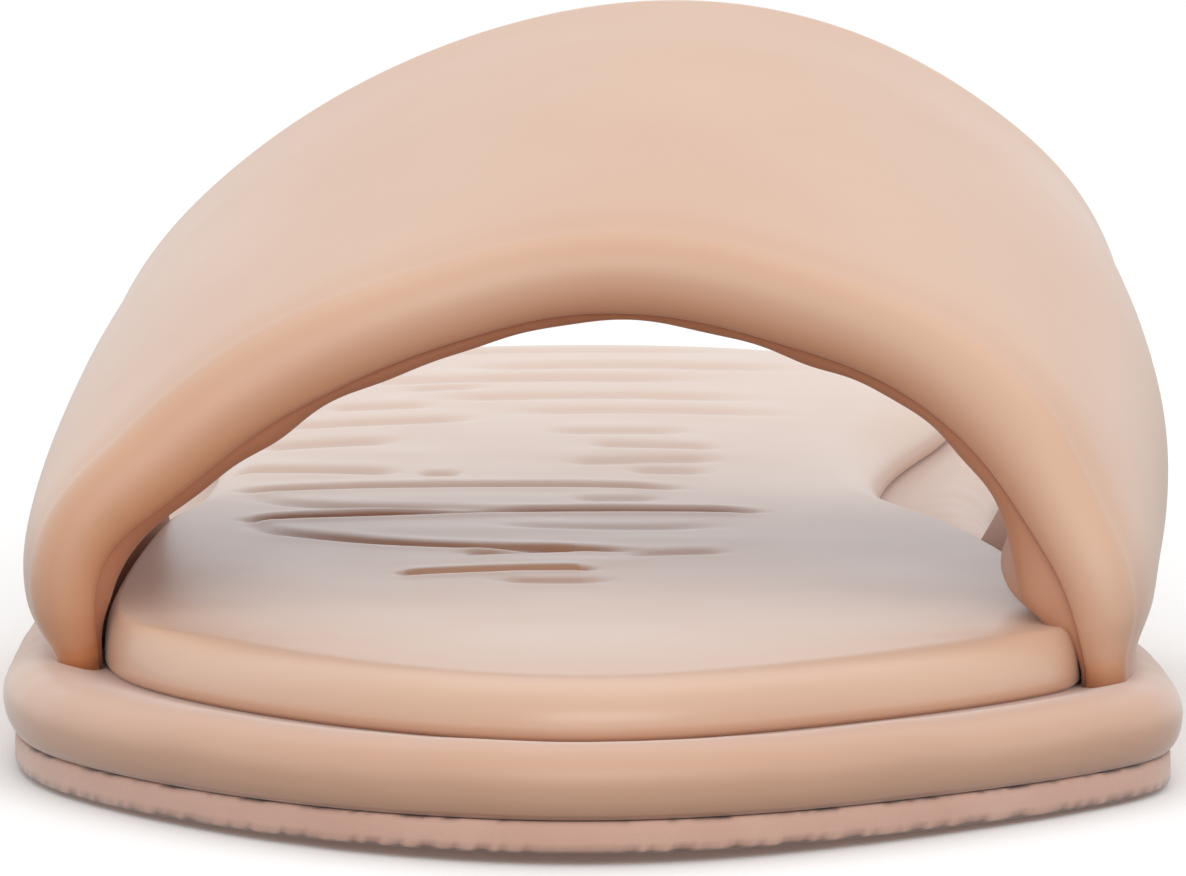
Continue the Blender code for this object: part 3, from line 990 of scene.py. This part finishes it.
@dataclass
class StrapPiece:
    """The padded band: a puffy front roll, a soft rise behind it, and a sewn-in lining."""

    stations: int = 300
    columns: int = 46
    column_crowding: float = 0.45
    outline_stations: int = 160
    arc_steps: int = 44
    arc_ends: float = 84.0
    puff: float = 0.0006
    seam_angle: float = -50.0
    seam_depth: float = 0.00036
    rise_start: float = 0.00005
    rise_height: float = 0.00032
    rise_length: float = 0.0036
    rise_fades: float = 4.0
    roll_swell: float = 0.00035
    flutter: float = 0.00008
    flutter_lengths: Pair = (0.0031, 0.0083)
    flutter_width: float = 14.0
    shade: float = 0.15
    shade_back: float = 0.0012
    shade_width: float = 0.0030
    seam_shade: float = 0.34
    seam_width: float = 6.0
    pad_shoulder: float = 0.0014
    foot_height: float = 0.0081
    foot_tuck: float = 0.12
    foot_tuck_height: float = 0.0045
    foot_shade: float = 0.55
    foot_shade_height: float = 0.0011
    lining_ends: float = 0.006
    lining_swell: float = 0.00022
    lining_swell_back: float = 0.004
    lining_swell_width: float = 0.006

    # Painted shade on the front roll, under it, at its top and on its outer side: (strength, angle
    # where it starts, angle where it is full)
    UNDER_SHADE = (0.26, 20.0, -50.0)
    TOP_SHADE = (0.15, 50.0, 100.0)
    OUTER_SIDE_SHADE = (0.50, 80.0, 20.0)

    # front, rear: shares of the length, of the way out to the pad's side, and of the rise
    ROWS = (
        BandRow("outer foot", (0.212, -1.000, 0.000), (0.490, -1.000, 0.000), 0.53, 1.00),
        BandRow("outer wall", (0.212, -1.005, 0.115), (0.490, -1.025, 0.145), 0.73, 1.00),
        BandRow("outer bend", (0.216, -0.970, 0.210), (0.491, -1.015, 0.305), 0.84, 0.80),
        BandRow("outer haunch", (0.224, -0.860, 0.300), (0.493, -0.938, 0.460), 0.94, 0.50),
        BandRow("outer slope", (0.237, -0.655, 0.445), (0.495, -0.770, 0.628), 1.02, 0.20),
        BandRow("outer shoulder", (0.255, -0.330, 0.592), (0.498, -0.450, 0.845), 0.97, 0.00),
        BandRow("crown", (0.264, 0.110, 0.667), (0.500, 0.195, 1.000), 0.98, 0.00),
        BandRow("inner shoulder", (0.251, 0.430, 0.605), (0.498, 0.725, 0.940), 0.99, 0.00),
        BandRow("inner slope", (0.229, 0.670, 0.510), (0.495, 1.085, 0.790), 1.00, 0.20),
        BandRow("inner haunch", (0.206, 0.820, 0.375), (0.491, 1.295, 0.615), 1.02, 0.65),
        BandRow("inner bend", (0.188, 0.906, 0.250), (0.486, 1.380, 0.425), 0.88, 0.95),
        BandRow("inner wall", (0.176, 0.963, 0.130), (0.481, 1.290, 0.185), 0.78, 1.00),
        BandRow("inner foot", (0.171, 1.000, 0.000), (0.478, 1.150, 0.000), 0.53, 1.00),
    )

    # share: place along the arch from the outer foot; all else in millimetres: half length
    # along the arch, swell, half depth and middle behind the front edge
    PUCKERS = (
        Pucker(0.060, 6.0, 1.10, 24.0, 14.0),
        Pucker(0.100, 5.0, 0.60, 30.0, 14.0),
        Pucker(0.165, 3.6, 0.55),
        Pucker(0.225, 3.8, 1.00),
        Pucker(0.312, 4.4, 0.62),
        Pucker(0.378, 5.0, 0.60),
        Pucker(0.455, 5.0, 0.40),
        Pucker(0.570, 5.0, 0.45),
        Pucker(0.652, 4.0, 0.75),
        Pucker(0.722, 4.4, 0.50),
        Pucker(0.790, 3.6, 0.70),
        Pucker(0.862, 5.5, 1.10, 12.0, 8.0),
        Pucker(0.914, 7.0, 5.80, 15.0, 14.0),
        Pucker(0.925, 5.0, 0.70, 6.0, 2.0),
    )

    def build(self) -> bpy.types.Object:
        """Makes the band and its lining as one closed skin.

        Returns:
            The piece, which stands in for the plain strap.
        """
        footprint = Footprint(self.outline_stations)
        face, thick, run = self._inner_face(footprint)
        outwards = unit(np.cross(np.gradient(face, axis=0), np.gradient(face, axis=1)))
        for station in (0, -1):
            outwards[station, :, 2] = 0.0
            outwards[station] = unit(outwards[station])
        back = np.linalg.norm(face - face[:, :1], axis=2)
        swell = self._lining_swell(run, back, face[:, :, 2])
        inner = face - outwards * swell[:, :, None]
        outer = face + outwards * self._outer_height(thick, back)[:, :, None]
        front, front_dark = self._edge_arc(face, outwards, thick, swell[:, 0], run, at_front=True)
        rear, rear_dark = self._edge_arc(face, outwards, thick, 0.0 * thick, run, at_front=False)
        rings = np.concatenate([inner[:, ::-1], front, outer, rear[:, ::-1]], axis=1)
        for station in (0, -1):
            rings[station, :, 2] = self.foot_height + SIZES.toe_lift(rings[station, :, 1])
        shade = self.shade * bump_of(back - self.shade_back, self.shade_width)
        dark = np.concatenate([0.0 * back, front_dark, shade, rear_dark[:, ::-1]], axis=1)
        # Painted shade where the band's feet meet the sole
        foot = np.minimum(run, run[-1] - run)
        dark += self.foot_shade * bump_of(foot, self.foot_shade_height)[:, None]
        skin = Skin("strap_band", rings, np.clip(dark, 0.0, 1.0), self._is_lining())
        piece = skin.build([STRAP_LEATHER.make(), LINING_LEATHER.make()], closed_ends=True)
        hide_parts("strap")
        return piece

    def _inner_face(self, footprint: Footprint) -> tuple[Array, Array, Array]:
        """The face that follows the foot.

        Args:
            footprint: the outline whose pad the band's feet stand beside.

        Returns:
            Corners as [station, column, xyz], thickness by station, and the run along the arch.
        """
        edges = {"front": [], "rear": []}
        for row in self.ROWS:
            for edge, points in edges.items():
                along, across, rise = getattr(row, edge)
                y = SIZES.toe_y + along * SIZES.length
                side = footprint.pad_side_x(y, inner=across > 0)
                z = SIZES.strap_base + rise * SIZES.strap_rise + SIZES.toe_lift(y)
                points.append((abs(across) * side, y, z))
        front, rear = np.array(edges["front"]), np.array(edges["rear"])
        knots = chord_lengths((front + rear) / 2)
        places = np.linspace(0.0, knots[-1], self.stations)
        shares = np.array([(row.thick, row.bow) for row in self.ROWS])
        thick, bow = Spline(shares, knots).at(places).T
        back = self._columns()[None, :, None]
        face = (Spline(front, knots).at(places)[:, None] * (1 - back)
                + Spline(rear, knots).at(places)[:, None] * back)
        half = self.stations // 2
        face[:half, :, 0] += bow[:half, None] * self._bow(footprint, inner=False)
        face[half:, :, 0] += bow[half:, None] * self._bow(footprint, inner=True)
        foot = np.minimum(places, places[-1] - places)
        tucked = 1.0 - self.foot_tuck * (1.0 - ease(foot / self.foot_tuck_height))
        return face, thick * tucked * SIZES.strap_thickness, places

    def _columns(self) -> Array:
        """Shares from front edge to rear edge, closer together near the front seam."""
        even = np.linspace(0.0, 1.0, self.columns)
        return (1 - self.column_crowding) * even + self.column_crowding * even**2

    def _bow(self, footprint: Footprint, inner: bool) -> Array:
        """How far the pad's side curves away from the line between the band's two edges.

        Args:
            footprint: the outline that has the pad's side.
            inner: whether this is the foot's inner side.

        Returns:
            Metres towards +X, by column.
        """
        foot = self.ROWS[-1] if inner else self.ROWS[0]
        shares = self._columns()
        along = foot.front[0] * (1 - shares) + foot.rear[0] * shares
        side = footprint.pad_side_x(SIZES.toe_y + along * SIZES.length, inner)
        return side - (side[0] * (1 - shares) + side[-1] * shares)

    def _lining_swell(self, run: Array, back: Array, height: Array) -> Array:
        """How far the lining swells into the opening, down to where it rests on the pad.

        Args:
            run: length along the arch by station.
            back: distance behind the front edge, by station and column.
            height: height of the inner face, by station and column.

        Returns:
            Metres inwards, by station and column.
        """
        ends = ease(np.minimum(run, run[-1] - run) / self.lining_ends)[:, None]
        swell = (self.lining_swell * ends
                 * bump_of(back - self.lining_swell_back, self.lining_swell_width))
        for pucker in self.PUCKERS:
            along = bump_of((run / run[-1] - pucker.share) * run[-1] * MM, pucker.reach)
            behind = bump_of(back * MM - pucker.middle_back, pucker.depth_back)
            swell += pucker.swell / MM * along[:, None] * behind * ends
        rise = np.clip((height - SIZES.pad_bottom) / (SIZES.pad_top - SIZES.pad_bottom), 0.0, 1.0)
        room = self.pad_shoulder * (1 - np.sqrt(1 - rise**2)) + SIZES.seam / 2
        return np.where(rise < 1.0, np.minimum(swell, room), swell)

    def _outer_height(self, thick: Array, back: Array) -> Array:
        """Height of the outer face over the inner one, which rises softly behind the roll.

        Args:
            thick: the band's thickness by station.
            back: distance behind the front edge, by station and column.

        Returns:
            Metres, by station and column.
        """
        share = back / back[:, -1:]
        padding = self.puff * np.sin(np.pi * share) * (thick / SIZES.strap_thickness)[:, None]
        rise = self.rise_start + self.rise_height * (1 - np.exp(-back / self.rise_length))
        return thick[:, None] + padding + rise * (1 - ease((share - 1) * self.rise_fades + 1))

    def _edge_arc(self, face: Array, outwards: Array, thick: Array, swell: Array, run: Array,
                  at_front: bool) -> tuple[Array, Array]:
        """The rolled edge from the lining round to the outer face, with its seam.

        Args:
            face: corners of the inner face.
            outwards: unit directions out of it.
            thick: the band's thickness by station.
            swell: how far the lining swells at this edge, by station.
            run: length along the arch by station.
            at_front: whether this is the front edge.

        Returns:
            Corners as [station, step, xyz], and their painted shade.
        """
        here, behind = (0, 3) if at_front else (-1, -4)
        away = unit(face[:, here] - face[:, behind])
        normal = outwards[:, here]
        angles = np.linspace(-90.0, self.arc_ends if at_front else 90.0, self.arc_steps + 2)[1:-1]
        turn = np.radians(angles)
        from_seam = angles - self.seam_angle
        share = run / run[-1]
        # The seam is faint at the outer foot
        sewn = (0.35 + 0.65 * ease(share * 5.0 - 0.6))[:, None]
        groove = self.seam_depth * sewn * (0.6 * bump_of(from_seam, self.seam_width)
                                           + 0.4 * np.exp(-np.abs(from_seam) / 4.0))
        lining = ease(-from_seam / (90.0 + self.seam_angle))
        roll = self.roll_swell * np.cos(turn) if at_front else 0.0 * turn
        short, long = self.flutter_lengths
        flutter = self.flutter * np.sin(run / short) * np.sin(run / long + 1.0)
        radius = (thick[:, None] / 2 - groove + lining * swell[:, None] + roll
                  + flutter[:, None] * bump_of(from_seam, self.flutter_width))
        centre = face[:, here] + normal * thick[:, None] / 2
        spokes = (np.sin(turn)[None, :, None] * normal[:, None]
                  + np.cos(turn)[None, :, None] * away[:, None])
        # Painted shade along the seam's groove
        dark = self.seam_shade * bump_of(from_seam, self.seam_width) * sewn
        if at_front:
            # Painted shade under the roll and at its top, and more on the foot's outer side, where
            # less light falls
            outer_side = ease(1.0 - share * 2.4)[:, None]
            dark = (dark + self._painted_shade(angles, self.UNDER_SHADE) + self._painted_shade(angles, self.TOP_SHADE)
                    + outer_side * self._painted_shade(angles, self.OUTER_SIDE_SHADE))
        return centre[:, None] + spokes * radius[:, :, None], dark

    @staticmethod
    def _painted_shade(angles: Array, tint: Triple) -> Array:
        """Painted shade that grows from nothing at one angle to its full strength at another."""
        strength, starts, full = tint
        return strength * ease((angles - starts) / (full - starts))

    def _is_lining(self) -> Array:
        """Which faces round the section belong to the lining.

        Returns:
            One truth value for each face.
        """
        sewn = int(self.arc_steps * (self.seam_angle + 90.0) / 180.0)
        total = 2 * self.columns + 2 * self.arc_steps
        lining = np.zeros(total, bool)
        lining[:self.columns + sewn] = True
        lining[total - sewn:] = True
        return lining


# The studio


@dataclass
class Studio:
    """Pale floor, white surroundings, soft lights and the camera."""

    focal_pixels: float = 12616.0
    image_width: float = 1186.0
    sensor: float = 36.0
    pitch: float = 7.239
    camera_x: float = 0.0003
    distance: float = 1.0
    height: float = 0.16154
    horizon_light: float = 1.30
    overhead_light: float = 1.08
    top_place: Triple = (0.05, 0.25, 0.95)
    top_size: Pair = (0.9, 0.9)
    top_power: float = 1.2
    front_place: Triple = (0.20, -1.15, 0.75)
    front_size: Pair = (1.7, 0.6)
    front_power: float = 5.4
    floor_half: float = 6.0
    seen_tone: float = 0.97
    seen_drop: float = 0.0004
    table_tone: float = 0.32
    table_drop: float = 0.0007

    def build(self) -> None:
        """Sets up the floor, the lights and the camera."""
        self._world()
        self._floor("studio_floor", self.seen_tone, self.seen_drop, for_camera=True)
        self._floor("studio_table", self.table_tone, self.table_drop, for_camera=False)
        self._light("top_light", self.top_place, self.top_size, self.top_power)
        self._light("front_light", self.front_place, self.front_size, self.front_power)
        self._camera()
        view = bpy.context.scene.view_settings
        view.view_transform = "Standard"
        view.look = "None"
        view.exposure = 0.0

    def _world(self) -> None:
        """White to look at; as light, brighter overhead than at the horizon."""
        world = bpy.data.worlds.new("white_surround")
        world.use_nodes = True
        tree = world.node_tree
        seen = tree.nodes["Background"]
        seen.inputs["Color"].default_value = (1.0, 1.0, 1.0, 1.0)
        seen.inputs["Strength"].default_value = 1.0
        place, split, height, lighting, path, either = (
            tree.nodes.new("ShaderNode" + kind) for kind in (
                "TexCoord", "SeparateXYZ", "MapRange", "Background", "LightPath", "MixShader"))
        for key, value in (("From Min", 0.0), ("From Max", 1.0), ("To Min", self.horizon_light),
                           ("To Max", self.overhead_light)):
            height.inputs[key].default_value = value
        for source, target in ((place.outputs["Generated"], split.inputs[0]),
                               (split.outputs["Z"], height.inputs["Value"]),
                               (height.outputs["Result"], lighting.inputs["Strength"]),
                               (path.outputs["Is Camera Ray"], either.inputs[0]),
                               (lighting.outputs[0], either.inputs[1]),
                               (seen.outputs[0], either.inputs[2]),
                               (either.outputs[0], tree.nodes["World Output"].inputs["Surface"])):
            tree.links.new(source, target)
        bpy.context.scene.world = world

    def _floor(self, name: str, tone: float, drop: float, for_camera: bool) -> None:
        """A wide plain floor, which is either what the camera sees or what reflects light.

        Args:
            name: the floor's name.
            tone: how pale it is.
            drop: how far it lies under the sandal.
            for_camera: whether this is the floor that the camera sees.
        """
        mesh = bpy.data.meshes.new(name)
        half = self.floor_half
        corners = [(x * half, y * half, -drop) for x, y in ((-1, -1), (1, -1), (1, 1), (-1, 1))]
        mesh.from_pydata(corners, [], [(0, 1, 2, 3)])
        nodes = Nodes(name)
        tint = nodes.ramp(nodes.noise(3.0), 0.3, 0.7, 0.0, 1.0)
        colour = nodes.mix(tint, (tone,) * 3, (tone * 0.99,) * 3)
        nodes.link(colour, nodes.shader.inputs["Base Color"])
        nodes.shader.inputs["Roughness"].default_value = 0.9
        nodes.shader.inputs["Specular IOR Level"].default_value = 0.1
        mesh.materials.append(nodes.material)
        floor = bpy.data.objects.new(name, mesh)
        bpy.context.scene.collection.objects.link(floor)
        floor.visible_camera = for_camera
        floor.visible_diffuse = not for_camera
        floor.visible_glossy = not for_camera
        floor.visible_shadow = False

    @staticmethod
    def _light(name: str, place: tuple, size: tuple, power: float) -> None:
        """A soft area light that faces the sandal.

        Args:
            name: the light's name.
            place: where it stands.
            size: its width and height.
            power: its watts.
        """
        light = bpy.data.lights.new(name, "AREA")
        light.shape = "RECTANGLE"
        light.size, light.size_y = size
        light.energy = power
        lamp = bpy.data.objects.new(name, light)
        bpy.context.scene.collection.objects.link(lamp)
        lamp.location = place
        towards = -np.array(place)
        flat = math.hypot(towards[0], towards[1])
        lamp.rotation_euler = (math.atan2(flat, -towards[2]), 0.0,
                               math.atan2(-towards[0], towards[1]))

    def _camera(self) -> None:
        """The camera at the photograph's angle, in front of the toe."""
        lens = bpy.data.cameras.new("camera")
        lens.sensor_width = self.sensor
        lens.lens = self.focal_pixels / self.image_width * self.sensor
        lens.clip_start = 0.01
        camera = bpy.data.objects.new("camera", lens)
        bpy.context.scene.collection.objects.link(camera)
        camera.location = (self.camera_x, SIZES.toe_y - self.distance, self.height)
        camera.rotation_euler = (math.pi / 2 - math.radians(self.pitch), 0.0, 0.0)
        bpy.context.scene.camera = camera


def main() -> None:
    """Builds the sandal from the floor up, then the studio round it."""
    logging.basicConfig(level=logging.INFO, format="%(name)s %(message)s")
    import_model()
    for piece in (OutsolePiece(), MidsolePiece(), FootbedPiece(), StrapPiece()):
        piece.build()
    Studio().build()


if __name__ == "__main__":
    main()
